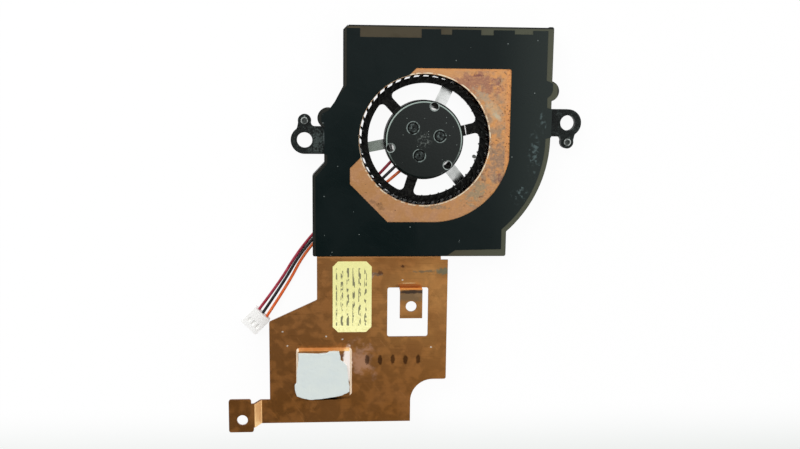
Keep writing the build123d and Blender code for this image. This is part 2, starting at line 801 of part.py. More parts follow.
# Black film: narrower than the backing, with notches along the exhaust edge
notches = ((-14.3, -1.0, film_notch_deep), (3.2, 5.6, film_notch), (11.95, 14.7, film_notch), (19.3, 23.4, 0.75 * film_notch))
film_top_y = top_y - film_top_margin
film_step_x = step_x - film_step_margin
film_step_y = scroll_y(film_scroll_margin, film_step_x)
with BuildPart() as black_film:
    with BuildSketch(Plane.XY.offset(cover_top + film_t)):
        with BuildLine():
            Polyline(
                (right_x - film_scroll_margin, scroll_top_y),
                (right_x, scroll_top_y + 0.3),
                (right_x, right_ear[1] + ear_ring_r),
                (right_x - 1.15, right_ear[1] + ear_ring_r + 0.3),
                (right_x - 1.15, right_lobe[1] - 1.5),
                (right_x - 0.35, right_lobe[1] - 0.85),
                (right_x, right_lobe[1]),
                (right_x, right_lobe[1] + 1.7),
                (right_x - film_right_margin, right_lobe[1] + 2.3),
                (right_x - film_right_margin, film_top_y),
                (upper_left_x + film_margin, film_top_y),
                (upper_left_x + film_margin, shoulder_y + 0.1),
                (left_lobe[0] + 0.1, left_lobe[1] + 1.6),
                (left_lobe[0] - 1.3, left_lobe[1] + 0.9),
                (left_lobe[0] - 1.4, left_lobe[1] - 0.7),
                (left_lobe[0] - 0.6, left_lobe[1] - 1.8),
                (waist_x, left_ear[1] + ear_ring_r - 0.2),
                (waist_x, left_ear[1] - ear_ring_r + 0.2),
                (waist_x + film_margin, left_ear[1] - ear_ring_r),
                (waist_x + film_margin, waist_y),
                (left_x + film_margin, hip_y - 0.3),
                (left_x + film_margin, bottom_y + bend_run / 2),
                (5.2, bottom_y + bend_run / 2),
                (5.8, bottom_y + film_foot / 3),
                (7.2, bottom_y + film_foot),
                (film_step_x, bottom_y + film_foot + 0.2),
                (film_step_x, film_step_y),
            )
            RadiusArc(
                (film_step_x, film_step_y),
                (right_x - film_scroll_margin, scroll_top_y),
                film_scroll_margin - scroll_r,
            )
        make_face()
        for notch_left, notch_right, depth in notches:
            with Locations(((notch_left + notch_right) / 2, film_top_y)):
                Rectangle(notch_right - notch_left, 2 * depth, mode=Mode.SUBTRACT)
        add(film_window(), mode=Mode.SUBTRACT)
    extrude(amount=film_t)

# Wires, each from its pad on the motor board, through the slot and over the bench to the plug
plug_across = polar(1, plug_angle + 90)
plug_along = polar(1, plug_angle)
plug_z = plug_h / 2


def wire_end(row):
    return (plug_face[0] + row * plug_pitch * plug_across[0], plug_face[1] + row * plug_pitch * plug_across[1], plug_z)


red_route = [
    (-5.3, -3.1, wire_z), (-13.2, -12.0, 0.9), (-22.4, -19.0, 0.9), (-28.2, -25.9, 0.72),
    (-32.4, -33.1, 0.45), wire_end(-1),
]
black_route = [
    (-4.3, -4.4, wire_z), (-12.6, -12.7, 0.9), (-21.9, -19.6, 0.9), (-27.55, -26.1, 0.95),
    (-31.4, -32.9, 0.85), wire_end(0),
]
orange_route = [
    (-2.9, -5.4, wire_z), (-11.9, -13.3, 0.9), (-21.3, -20.0, 0.9), (-27.0, -26.6, 0.72),
    (-30.3, -33.2, 0.45), wire_end(1),
]


def bend_radii(route):
    """Radius of the arc at each inner point of a route: as large as its two runs allow."""
    points = [Vector(*point) for point in route]
    runs = [after - before for before, after in zip(points, points[1:])]
    radii = []
    for before, after in zip(runs, runs[1:]):
        half_turn = radians(before.get_angle(after) / 2)
        radii.append(0.45 * min(before.length, after.length) / tan(half_turn))
    print("radii", [round(radius, 1) for radius in radii])
    return radii


with BuildPart() as lead_red:
    with BuildLine() as red_path:
        FilletPolyline(*red_route, radius=bend_radii(red_route))
    with BuildSketch(Plane(origin=red_path.line @ 0, z_dir=red_path.line % 0)):
        RegularPolygon(wire_r, wire_sides)
    sweep()

with BuildPart() as lead_black:
    with BuildLine() as black_path:
        FilletPolyline(*black_route, radius=bend_radii(black_route))
    with BuildSketch(Plane(origin=black_path.line @ 0, z_dir=black_path.line % 0)):
        RegularPolygon(wire_r, wire_sides)
    sweep()

with BuildPart() as lead_orange:
    with BuildLine() as orange_path:
        FilletPolyline(*orange_route, radius=bend_radii(orange_route))
    with BuildSketch(Plane(origin=orange_path.line @ 0, z_dir=orange_path.line % 0)):
        RegularPolygon(wire_r, wire_sides)
    sweep()

for path, tube in ((red_path, lead_red), (black_path, lead_black), (orange_path, lead_orange)):
    run_length = sum(edge.length for edge in path.edges())
    section = wire_sides / 2 * wire_r**2 * sin(2 * pi / wire_sides)
    print("length", round(run_length, 2), "volume share", round(tube.part.volume / (run_length * section), 4))

# White three-way housing with its crimp contacts
plug_frame = Plane(origin=(*plug_face, 0), x_dir=(*plug_across, 0), z_dir=(0, 0, 1))
mating = Plane(
    origin=(plug_face[0] + plug_l * plug_along[0], plug_face[1] + plug_l * plug_along[1], plug_z),
    x_dir=(*plug_across, 0),
    z_dir=(-plug_along[0], -plug_along[1], 0),
)
with BuildPart() as connector_housing:
    with BuildSketch(plug_frame):
        with Locations((0, -plug_l / 2)):
            Rectangle(plug_w, plug_l)
    extrude(amount=plug_h)
    fillet(connector_housing.edges().filter_by(Axis.Z), plug_rib / 2)
    with BuildSketch(plug_frame.offset(plug_h - plug_rib)):
        with Locations((0, -plug_l * 0.62)):
            with GridLocations(plug_pitch, 0, 3, 1):
                Rectangle(plug_cell_w, plug_l / 4)
    extrude(amount=plug_rib, mode=Mode.SUBTRACT)
    with BuildSketch(mating):
        with GridLocations(plug_pitch, 0, 3, 1):
            Rectangle(plug_cell_w, plug_cell_h)
    extrude(amount=plug_cell_depth, mode=Mode.SUBTRACT)

with BuildPart() as connector_contacts:
    with BuildSketch(mating.offset(2 * contact_gap)):
        with GridLocations(plug_pitch, 0, 3, 1):
            Rectangle(plug_cell_w - 2 * contact_gap, plug_cell_h - 2 * contact_gap)
            Rectangle(plug_cell_w / 3, plug_cell_h / 2, mode=Mode.SUBTRACT)
    extrude(amount=plug_cell_depth - 2 * contact_gap)

os.makedirs("parts", exist_ok=True)
fan_frame.part.label = "fan_frame"
export_step(fan_frame.part, "parts/fan_frame.step")
locating_pins.part.label = "locating_pins"
export_step(locating_pins.part, "parts/locating_pins.step")
base_plate.part.label = "base_plate"
export_step(base_plate.part, "parts/base_plate.step")
bearing_sleeve.part.label = "bearing_sleeve"
export_step(bearing_sleeve.part, "parts/bearing_sleeve.step")
thrust_pad.part.label = "thrust_pad"
export_step(thrust_pad.part, "parts/thrust_pad.step")
motor_board.part.label = "motor_board"
export_step(motor_board.part, "parts/motor_board.step")
board_parts.part.label = "board_parts"
export_step(board_parts.part, "parts/board_parts.step")
stator_core.part.label = "stator_core"
export_step(stator_core.part, "parts/stator_core.step")
stator_insulator.part.label = "stator_insulator"
export_step(stator_insulator.part, "parts/stator_insulator.step")
stator_coils.part.label = "stator_coils"
export_step(stator_coils.part, "parts/stator_coils.step")
shaft.part.label = "shaft"
export_step(shaft.part, "parts/shaft.step")
rotor_yoke.part.label = "rotor_yoke"
export_step(rotor_yoke.part, "parts/rotor_yoke.step")
magnet_ring.part.label = "magnet_ring"
export_step(magnet_ring.part, "parts/magnet_ring.step")
impeller.part.label = "impeller"
export_step(impeller.part, "parts/impeller.step")
balance_weight.part.label = "balance_weight"
export_step(balance_weight.part, "parts/balance_weight.step")
fin_stack.part.label = "fin_stack"
export_step(fin_stack.part, "parts/fin_stack.step")
copper_plate.part.label = "copper_plate"
export_step(copper_plate.part, "parts/copper_plate.step")
thermal_pad.part.label = "thermal_pad"
export_step(thermal_pad.part, "parts/thermal_pad.step")
label.part.label = "label"
export_step(label.part, "parts/label.step")
film_backing.part.label = "film_backing"
export_step(film_backing.part, "parts/film_backing.step")
black_film.part.label = "black_film"
export_step(black_film.part, "parts/black_film.step")
lead_red.part.label = "lead_red"
export_step(lead_red.part, "parts/lead_red.step")
lead_black.part.label = "lead_black"
export_step(lead_black.part, "parts/lead_black.step")
lead_orange.part.label = "lead_orange"
export_step(lead_orange.part, "parts/lead_orange.step")
connector_housing.part.label = "connector_housing"
export_step(connector_housing.part, "parts/connector_housing.step")
connector_contacts.part.label = "connector_contacts"
export_step(connector_contacts.part, "parts/connector_contacts.step")
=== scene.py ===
import math

import bmesh
import bpy
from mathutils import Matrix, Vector, noise


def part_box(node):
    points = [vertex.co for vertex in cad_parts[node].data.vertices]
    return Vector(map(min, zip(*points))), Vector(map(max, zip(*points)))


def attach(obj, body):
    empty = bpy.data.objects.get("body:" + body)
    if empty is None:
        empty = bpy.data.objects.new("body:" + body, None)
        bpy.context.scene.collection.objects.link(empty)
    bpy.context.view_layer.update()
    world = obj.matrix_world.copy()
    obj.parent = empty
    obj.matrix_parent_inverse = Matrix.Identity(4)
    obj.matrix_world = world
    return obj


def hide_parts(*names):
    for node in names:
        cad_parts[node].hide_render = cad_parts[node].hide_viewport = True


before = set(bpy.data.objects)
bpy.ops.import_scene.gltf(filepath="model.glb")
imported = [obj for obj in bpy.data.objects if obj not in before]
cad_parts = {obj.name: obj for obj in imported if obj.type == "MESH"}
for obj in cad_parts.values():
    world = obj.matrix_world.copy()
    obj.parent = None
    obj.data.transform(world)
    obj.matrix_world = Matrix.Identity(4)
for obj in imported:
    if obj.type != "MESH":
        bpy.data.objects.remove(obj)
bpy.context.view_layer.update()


# The far cover: a thin steel stamping with a round inlet, a disc that carries the motor and three struts.
# Cold-rolled sheet with a satin grain along its length, dulled here and there by handling.
# Its corners and lobes are held by melted plastic stakes.
MM = 0.001


def shade(red, green, blue):
    """A colour as a screen shows it, 0 to 255, turned into light values."""
    return [*((c / 255) ** 2.2 for c in (red, green, blue)), 1.0]


def lay(tree, kind, feeds, **settings):
    """Add a node, with its settings and with a value or a link for each named or numbered input."""
    node = tree.nodes.new("ShaderNode" + kind)
    for name, value in settings.items():
        setattr(node, name, value)
    for name, value in feeds.items():
        if isinstance(value, bpy.types.NodeSocket):
            tree.links.new(value, node.inputs[name])
        else:
            node.inputs[name].default_value = value
    return node


def here(tree):
    """The place on the piece, in metres."""
    return lay(tree, "TexCoord", {}).outputs["Object"]


def split(tree, vector):
    """The three parts of a vector."""
    return lay(tree, "SeparateXYZ", {0: vector}).outputs


def work(tree, operation, *values):
    """One step of arithmetic on values and links."""
    return lay(tree, "Math", dict(enumerate(values)), operation=operation).outputs[0]


def length(tree, vector):
    """How long a vector is."""
    return lay(tree, "VectorMath", {0: vector}, operation="LENGTH").outputs["Value"]


def offset_from(tree, place, x, y):
    """The way to a place from an upright axis at x and y."""
    centre = lay(tree, "CombineXYZ", {0: x, 1: y}).outputs[0]
    return lay(tree, "VectorMath", {0: place, 1: centre}, operation="SUBTRACT").outputs[0]


def turned_parts(tree, vector, angle):
    """The three parts of a vector that is turned about Z."""
    turned = lay(tree, "VectorRotate", {"Vector": vector, "Angle": angle}, rotation_type="Z_AXIS")
    return split(tree, turned.outputs[0])


def between(tree, value, low, high):
    """A mask that rises evenly from 0 to 1 as a value goes from low to high."""
    return lay(tree, "MapRange", {"Value": value, "From Min": low, "From Max": high}).outputs[0]


def ease(tree, value, low, high, at_low=0.0, at_high=1.0):
    """A value taken smoothly from one range to another, and held at its ends."""
    feeds = {"Value": value, "From Min": low, "From Max": high, "To Min": at_low, "To Max": at_high}
    return lay(tree, "MapRange", feeds, interpolation_type="SMOOTHSTEP").outputs[0]


def start_effect(name, inputs):
    """A node group with number inputs and one mask output, and its in and out sockets."""
    effect = bpy.data.node_groups.new(name, "ShaderNodeTree")
    for label, value in inputs.items():
        socket = effect.interface.new_socket(label, in_out="INPUT", socket_type="NodeSocketFloat")
        socket.default_value = value
    effect.interface.new_socket("Mask", in_out="OUTPUT", socket_type="NodeSocketFloat")
    return effect, effect.nodes.new("NodeGroupInput").outputs, effect.nodes.new("NodeGroupOutput").inputs


def place_effect(tree, effect, **inputs):
    """Put an effect in a material with its own values, and return its mask."""
    node = tree.nodes.new("ShaderNodeGroup")
    node.node_tree = effect
    for label, value in inputs.items():
        node.inputs[label.replace("_", " ")].default_value = value
    return node.outputs["Mask"]


def start_finish(name, **sockets):
    """A new material, its nodes and its surface shader, with what is the same all over set on the shader."""
    material = bpy.data.materials.new(name)
    material.use_nodes = True
    surface = material.node_tree.nodes["Principled BSDF"]
    for socket, value in sockets.items():
        surface.inputs[socket.replace("_", " ")].default_value = value
    return material, material.node_tree, surface


def blend_colours(tree, mask, plain, marked):
    """Colour that goes from plain to marked with a mask."""
    return lay(tree, "Mix", {0: mask, 6: plain, 7: marked}, data_type="RGBA").outputs[2]


def feed(tree, surface, **values):
    """Link colours and masks to the surface shader."""
    for socket, value in values.items():
        tree.links.new(value, surface.inputs[socket.replace("_", " ")])


def roughen(tree, surface, height, depth):
    """Raise a surface by a mask, to a depth in metres."""
    bump = lay(tree, "Bump", {"Strength": 1.0, "Distance": depth, "Height": height})
    feed(tree, surface, Normal=bump.outputs[0])


def dress(node_name, material):
    """Give a solid of the frame its finish."""
    for material_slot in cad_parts[node_name].material_slots:
        material_slot.material = material


scratches, scratch_in, scratch_out = start_effect(
    "Scratches", {"Turn": 0.0, "Length": 0.01, "Width": 0.0002, "From": 0.6, "To": 0.7}
)
axes = turned_parts(scratches, here(scratches), scratch_in["Turn"])
along = work(scratches, "DIVIDE", axes[0], scratch_in["Length"])
across = work(scratches, "DIVIDE", axes[1], scratch_in["Width"])
up = work(scratches, "DIVIDE", axes[2], scratch_in["Width"])
drawn_out = lay(scratches, "CombineXYZ", {0: along, 1: across, 2: up}).outputs[0]
streak = lay(scratches, "TexNoise", {"Vector": drawn_out, "Scale": 1.0, "Detail": 3.0}).outputs[0]
scratches.links.new(between(scratches, streak, scratch_in["From"], scratch_in["To"]), scratch_out["Mask"])

blotches, blotch_in, blotch_out = start_effect(
    "Blotches", {"Size": 0.005, "Detail": 4.0, "From": 0.45, "To": 0.65, "Shift": 0.0}
)
moved = lay(blotches, "VectorMath", {0: here(blotches), 1: blotch_in["Shift"]}, operation="ADD").outputs[0]
per_metre = work(blotches, "DIVIDE", 1.0, blotch_in["Size"])
feeds = {"Vector": moved, "Scale": per_metre, "Detail": blotch_in["Detail"], "Distortion": 0.4}
cloud = lay(blotches, "TexNoise", feeds).outputs[0]
blotches.links.new(between(blotches, cloud, blotch_in["From"], blotch_in["To"]), blotch_out["Mask"])

patches, patch_in, patch_out = start_effect(
    "Patches",
    {
        "X": 0.0,
        "Y": 0.0,
        "Half Width": 0.001,
        "Half Height": 0.001,
        "Turn": 0.0,
        "Ragged": 0.6,
        "Soft": 0.4,
        "Size": 0.001,
    },
)
place = here(patches)
axes = turned_parts(patches, offset_from(patches, place, patch_in["X"], patch_in["Y"]), patch_in["Turn"])
across = work(patches, "DIVIDE", axes[0], patch_in["Half Width"])
along = work(patches, "DIVIDE", axes[1], patch_in["Half Height"])
reach = length(patches, lay(patches, "CombineXYZ", {0: across, 1: along}).outputs[0])
per_metre = work(patches, "DIVIDE", 1.0, patch_in["Size"])
feeds = {"Vector": place, "Scale": per_metre, "Detail": 5.0, "Roughness": 0.6}
torn = work(patches, "SUBTRACT", lay(patches, "TexNoise", feeds).outputs[0], 0.5)
torn = work(patches, "MULTIPLY", torn, patch_in["Ragged"])
reach = work(patches, "MULTIPLY_ADD", torn, 4.0, reach)
inner = work(patches, "SUBTRACT", 1.0, patch_in["Soft"])
patches.links.new(ease(patches, reach, 1.0, inner), patch_out["Mask"])


def patch(tree, place_mm, reach_mm, turn=0.0, ragged=0.6, soft=0.4, size=1.0):
    """A mask of one ragged patch, with its place, its half width and height and its grain in millimetres."""
    x, y = place_mm
    half_width, half_height = reach_mm
    look = {"Turn": turn, "Ragged": ragged, "Soft": soft, "Size": size * MM}
    return place_effect(
        tree, patches, X=x * MM, Y=y * MM, Half_Width=half_width * MM, Half_Height=half_height * MM, **look
    )


def blot(tree, tone, colour, place_mm, reach_mm, share=1.0, **look):
    """A tone with one ragged stain or mark laid over it."""
    mask = patch(tree, place_mm, reach_mm, **look)
    if share < 1:
        mask = work(tree, "MULTIPLY", mask, share)
    return blend_colours(tree, mask, tone, colour)


steel, tree, surface = start_finish("far cover steel", Metallic=1.0)
dulled = place_effect(tree, blotches, Size=2.2 * MM, Detail=5.0, From=0.42, To=0.68)
rolled = place_effect(tree, scratches, Turn=0.35, Length=5 * MM, Width=0.06 * MM, From=0.45, To=0.75)
tone = blend_colours(tree, dulled, shade(242, 244, 242), shade(206, 210, 207))
tone = blend_colours(tree, rolled, tone, shade(220, 222, 220))
# Painted shade: the steel left of the middle is painted a darker grey, for the dimmer light it reflects
# there.
tone = blot(tree, tone, shade(162, 172, 162), (-11.5, -1.5), (4.0, 3.0), ragged=0.4, soft=0.5, size=1.5)
feed(tree, surface, Base_Color=tone, Roughness=ease(tree, dulled, 0, 1, 0.16, 0.26))
roughen(tree, surface, rolled, 0.0015 * MM)
dress("base_plate", steel)


# The bearing: a sintered bronze sleeve pressed up from the disc, with a white wear pad under the shaft.
# The bronze shows its pressed powder as fine pits, and the pad is rubbed dark in places.
specks, speck_in, speck_out = start_effect("Specks", {"Spacing": 0.002, "Radius": 0.1, "Share": 0.3})
per_metre = work(specks, "DIVIDE", 1.0, speck_in["Spacing"])
cell = lay(specks, "TexVoronoi", {"Vector": here(specks), "Scale": per_metre}).outputs
near = work(specks, "LESS_THAN", cell["Distance"], speck_in["Radius"])
kept = work(specks, "LESS_THAN", split(specks, cell["Color"])[0], speck_in["Share"])
specks.links.new(work(specks, "MULTIPLY", near, kept), speck_out["Mask"])

bronze, tree, surface = start_finish("sintered bronze", Metallic=0.9, Roughness=0.45)
pits = place_effect(tree, specks, Spacing=0.12 * MM, Radius=0.3, Share=0.5)
feed(tree, surface, Base_Color=blend_colours(tree, pits, shade(176, 142, 92), shade(84, 62, 38)))
roughen(tree, surface, pits, -0.02 * MM)
dress("bearing_sleeve", bronze)

wear_pad, tree, surface = start_finish("white wear pad", Roughness=0.35)
rubbed = place_effect(tree, blotches, Size=0.4 * MM, Detail=3.0)
feed(tree, surface, Base_Color=blend_colours(tree, rubbed, shade(228, 228, 220), shade(170, 166, 150)))
dress("thrust_pad", wear_pad)


# The motor's round circuit board, green under its solder mask, with a driver chip and a field sensor.
# The mask is a little raised over the copper tracks, which run round the board.
solder_mask, tree, surface = start_finish("solder mask", Roughness=0.28)
tracks = lay(
    tree,
    "TexWave",
    {"Vector": here(tree), "Scale": 0.55 / MM, "Distortion": 2.0, "Detail": 1.0, "Detail Scale": 0.4 / MM},
    wave_type="RINGS",
    rings_direction="Z",
).outputs[1]
raised = ease(tree, tracks, 0.55, 0.7)
feed(tree, surface, Base_Color=blend_colours(tree, raised, shade(18, 74, 44), shade(34, 108, 62)))
roughen(tree, surface, raised, 0.03 * MM)
dress("motor_board", solder_mask)

chip_resin, tree, surface = start_finish("chip resin", Roughness=0.55)
cast = place_effect(tree, blotches, Size=0.15 * MM, Detail=2.0)
feed(tree, surface, Base_Color=blend_colours(tree, cast, shade(38, 38, 40), shade(58, 58, 60)))
roughen(tree, surface, cast, 0.01 * MM)
dress("board_parts", chip_resin)


# The stator: a six-pole core of stamped laminations, with a pale moulded insulator on each face.
# Enamelled copper wire is wound round each pole, in even turns that run out along it.
lamination, tree, surface = start_finish("laminated core", Metallic=1.0, Roughness=0.42)
layer = lay(tree, "TexWave", {"Vector": here(tree), "Scale": 0.9 / MM}, bands_direction="Z").outputs[1]
feed(tree, surface, Base_Color=blend_colours(tree, layer, shade(150, 150, 152), shade(84, 84, 86)))
roughen(tree, surface, layer, 0.02 * MM)
dress("stator_core", lamination)

insulator, tree, surface = start_finish("pale insulator", Roughness=0.5)
tinge = place_effect(tree, blotches, Size=1.5 * MM, Detail=2.0)
feed(tree, surface, Base_Color=blend_colours(tree, tinge, shade(214, 210, 196), shade(190, 184, 166)))
dress("stator_insulator", insulator)

enamel, tree, surface = start_finish("enamelled windings", Metallic=0.8, Roughness=0.3)
turns = lay(
    tree,
    "TexWave",
    {"Vector": here(tree), "Scale": 2.2 / MM, "Distortion": 0.6},
    wave_type="RINGS",
    rings_direction="Z",
).outputs[1]
feed(tree, surface, Base_Color=blend_colours(tree, turns, shade(92, 40, 18), shade(196, 104, 56)))
roughen(tree, surface, turns, 0.06 * MM)
dress("stator_coils", enamel)


# The three wires: tinned strands in soft coloured insulation, 0.68 mm thick in all.
# Each is soldered to the motor board, leaves through a slot in the side wall and lies on the bench.
# They are tied to nothing, so they fan out a little on the way to the plug.
def insulation(name, colour, rubbed_colour):
    """Soft wire insulation in one colour, paler where it has been rubbed."""
    material, tree, surface = start_finish(name, Roughness=0.38, Specular_IOR_Level=0.4)
    worn = place_effect(tree, blotches, Size=1.3 * MM, Detail=4.0, From=0.5, To=0.75)
    feed(tree, surface, Base_Color=blend_colours(tree, worn, colour, rubbed_colour))
    fine = place_effect(tree, blotches, Size=0.2 * MM, Detail=2.0)
    roughen(tree, surface, fine, 0.01 * MM)
    return material


def set_down(name, data):
    """Put a new mesh, wire, lamp or camera in the scene."""
    piece = bpy.data.objects.new(name, data)
    bpy.context.scene.collection.objects.link(piece)
    return piece


def lay_wire(name, node_name, material, points_mm):
    """One free wire along its route, from its pad on the motor board to its cell in the plug."""
    curve = bpy.data.curves.new(name, "CURVE")
    curve.dimensions = "3D"
    curve.bevel_depth = wire_r
    curve.bevel_resolution = 5
    curve.resolution_u = 16
    curve.use_fill_caps = True
    spline = curve.splines.new("NURBS")
    spline.points.add(len(points_mm) - 1)
    for point, (x, y, z) in zip(spline.points, points_mm):
        point.co = (x * MM, y * MM, z * MM, 1)
    spline.order_u = 3
    spline.use_endpoint_u = True
    curve.materials.append(material)
    wire = set_down(name, curve)
    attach(wire, "housing")
    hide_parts(node_name)


wire_r = 0.34 * MM
red = insulation("red insulation", shade(146, 20, 46), shade(176, 58, 82))
red_route = [
    (-5.3, -3.1, 1.1),
    (-13.2, -12.0, 0.9),
    (-22.4, -19.0, 0.9),
    (-28.2, -25.9, 0.72),
    (-32.4, -33.1, 0.45),
    (-37.0385, -39.1115, 1.3),
]
lay_wire("red_wire", "lead_red", red, red_route)

black = insulation("black insulation", shade(18, 16, 20), shade(44, 40, 46))
black_route = [
    (-4.3, -4.4, 1.1),
    (-12.6, -12.7, 0.9),
    (-21.9, -19.6, 0.9),
    (-27.55, -26.1, 0.95),
    (-31.4, -32.9, 0.85),
    (-36.19, -39.96, 1.3),
]
lay_wire("black_wire", "lead_black", black, black_route)

orange = insulation("orange insulation", shade(226, 96, 34), shade(236, 130, 70))
orange_route = [
    (-2.9, -5.4, 1.1),
    (-11.9, -13.3, 0.9),
    (-21.3, -20.0, 0.9),
    (-27.0, -26.6, 0.72),
    (-30.3, -33.2, 0.45),
    (-35.3415, -40.8085, 1.3),
]
lay_wire("orange_wire", "lead_orange", orange, orange_route)


# The plug: a white nylon housing with three cells, each holding a folded and tinned crimp contact.
# The nylon is clean and keeps a faint grain from its mould, and the tin is a little dull.
nylon, tree, surface = start_finish("white nylon", Roughness=0.42)
fine = place_effect(tree, blotches, Size=0.3 * MM, Detail=3.0)
feed(tree, surface, Base_Color=blend_colours(tree, fine, shade(255, 255, 253), shade(250, 250, 247)))
roughen(tree, surface, fine, 0.008 * MM)
dress("connector_housing", nylon)

tinned, tree, surface = start_finish("tinned contact", Metallic=1.0, Roughness=0.3)
dulled = place_effect(tree, blotches, Size=0.5 * MM, Detail=3.0)
feed(tree, surface, Base_Color=blend_colours(tree, dulled, shade(214, 212, 204), shade(168, 164, 152)))
dress("connector_contacts", tinned)


# The side wall: one black glass-filled moulding with the ears, lobes, scroll and exhaust sill.
# Its skin has a fine grain that handling has scuffed grey beside the ears' holes, and dust sits in it.
def both_masks(tree, first, second):
    """The part that two masks share."""
    return work(tree, "MULTIPLY", first, second)


moulding, tree, surface = start_finish("black moulding", Specular_IOR_Level=0.2)
grain = place_effect(tree, blotches, Size=0.2 * MM, Detail=4.0, From=0.4, To=0.66)
dust = place_effect(tree, specks, Spacing=0.55 * MM, Radius=0.2, Share=0.3)
handled = place_effect(tree, blotches, Size=1.1 * MM, Detail=6.0, From=0.53, To=0.7)
tone = blend_colours(tree, grain, shade(8, 12, 12), shade(34, 40, 38))
tone = blend_colours(tree, both_masks(tree, handled, grain), tone, shade(74, 84, 82))
tone = blend_colours(tree, dust, tone, shade(58, 64, 62))
# Painted highlight: a thin pale line down the right ear, where the cover's edge meets it.
tone = blot(tree, tone, shade(96, 106, 100), (28.62, 4.1), (0.16, 3.6), 0.8, turn=0.03, ragged=0.1)
tone = blot(tree, tone, shade(120, 128, 124), (-26.35, 4.95), (0.22, 0.22), ragged=0.2, size=0.5)
tone = blot(tree, tone, shade(78, 88, 86), (-23.6, -0.6), (1.5, 3.0), 0.8, ragged=1.5, soft=0.8, size=0.4)
# Painted highlight: a thin pale line beside the left ear, where the cover's edge meets it.
tone = blot(
    tree, tone, shade(132, 142, 142), (-22.0, -0.2), (0.22, 2.3), 0.9, turn=-0.05, ragged=0.15, size=0.9
)
feed(tree, surface, Base_Color=tone, Roughness=ease(tree, handled, 0, 1, 0.5, 0.34))
roughen(tree, surface, grain, 0.018 * MM)
dress("fan_frame", moulding)


# The locating pins: short turned steel pins, moulded in beside each ear's hole.
# Their ends are dull and grey, with a painted highlight: a bright broken ring round the edge of each end.
# The hoops are thin broken rings, used as painted highlights on round edges.
hoops, hoop_in, hoop_out = start_effect(
    "Hoops", {"X": 0.0, "Y": 0.0, "Radius": 0.001, "Width": 0.0002, "Worn": 0.0}
)
place = here(hoops)
offset = offset_from(hoops, place, hoop_in["X"], hoop_in["Y"])
flat = lay(hoops, "VectorMath", {0: offset, 1: (1, 1, 0)}, operation="MULTIPLY").outputs[0]
off_line = work(hoops, "ABSOLUTE", work(hoops, "SUBTRACT", length(hoops, flat), hoop_in["Radius"]))
line = ease(hoops, work(hoops, "DIVIDE", off_line, hoop_in["Width"]), 0.5, 0.3)
broken = lay(hoops, "TexNoise", {"Vector": place, "Scale": 1.1 / MM, "Detail": 3.0}).outputs[0]
left_on = between(hoops, broken, hoop_in["Worn"], work(hoops, "ADD", hoop_in["Worn"], 0.12))
hoops.links.new(both_masks(hoops, line, left_on), hoop_out["Mask"])

pin_steel, tree, surface = start_finish("turned pins", Metallic=1.0, Roughness=0.4)
turning = place_effect(tree, blotches, Size=0.25 * MM, Detail=3.0)
tone = blend_colours(tree, turning, shade(92, 96, 94), shade(48, 52, 50))
pin_r = 0.8 * MM
low_x, low_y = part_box("locating_pins")[0][:2]
high_x, high_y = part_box("locating_pins")[1][:2]
# Painted highlight: a bright ring round each pin's end.
for pin_x, pin_y in ((low_x + pin_r, high_y - pin_r), (high_x - pin_r, low_y + pin_r)):
    rim = place_effect(tree, hoops, X=pin_x, Y=pin_y, Radius=0.72 * MM, Width=0.3 * MM, Worn=0.38)
    tone = blend_colours(tree, rim, tone, shade(190, 196, 192))
feed(tree, surface, Base_Color=tone)
dress("locating_pins", pin_steel)


# The exhaust fins: a strip of thin aluminium folded into a comb and soldered under the cover.
# The sheet has fine rolling marks and a dull oxide.
fin_sheet, tree, surface = start_finish("fin aluminium", Metallic=1.0, Roughness=0.36)
rolled = place_effect(tree, scratches, Turn=1.57, Length=2 * MM, Width=0.08 * MM, From=0.42, To=0.7)
feed(tree, surface, Base_Color=blend_colours(tree, rolled, shade(214, 216, 220), shade(170, 172, 176)))
roughen(tree, surface, rolled, 0.01 * MM)
dress("fin_stack", fin_sheet)


# The rotor's inside: a ground shaft, a drawn steel cup and a ring of bonded magnet.
# The shaft has fine lines, the cup is clouded by its lubricant, and the magnet is dark and slightly porous.
ground, tree, surface = start_finish("ground shaft", Metallic=1.0, Roughness=0.15)
lines = place_effect(tree, scratches, Turn=0.0, Length=3 * MM, Width=0.04 * MM)
feed(tree, surface, Base_Color=blend_colours(tree, lines, shade(214, 214, 214), shade(180, 180, 180)))
dress("shaft", ground)

drawn, tree, surface = start_finish("drawn yoke", Metallic=1.0, Roughness=0.33)
clouded = place_effect(tree, blotches, Size=0.6 * MM, Detail=4.0)
feed(tree, surface, Base_Color=blend_colours(tree, clouded, shade(206, 206, 204), shade(164, 164, 162)))
dress("rotor_yoke", drawn)

bonded, tree, surface = start_finish("bonded magnet", Roughness=0.6)
pores = place_effect(tree, specks, Spacing=0.2 * MM, Radius=0.3, Share=0.5)
feed(tree, surface, Base_Color=blend_colours(tree, pores, shade(62, 58, 56), shade(30, 28, 28)))
roughen(tree, surface, pores, -0.02 * MM)
dress("magnet_ring", bonded)


# The impeller: one black moulding of hub, three spokes, ring and forty-two backward-leaning blades.
# The hub's face is satin from its mould and dusty near the middle; pale rings round its edge, vents and stud
# pockets and a white line across one spoke's root are painted highlights.
# A steel rim behind the three vents belongs to the cup, and a hardened grey dab balances the ring.
def thirds(place_r, first_angle):
    """Three places round the hub, in millimetres, from a radius and the first one's angle in degrees."""
    angles = [math.radians(first_angle + 120 * third) for third in range(3)]
    return [(place_r * math.cos(angle), place_r * math.sin(angle)) for angle in angles]


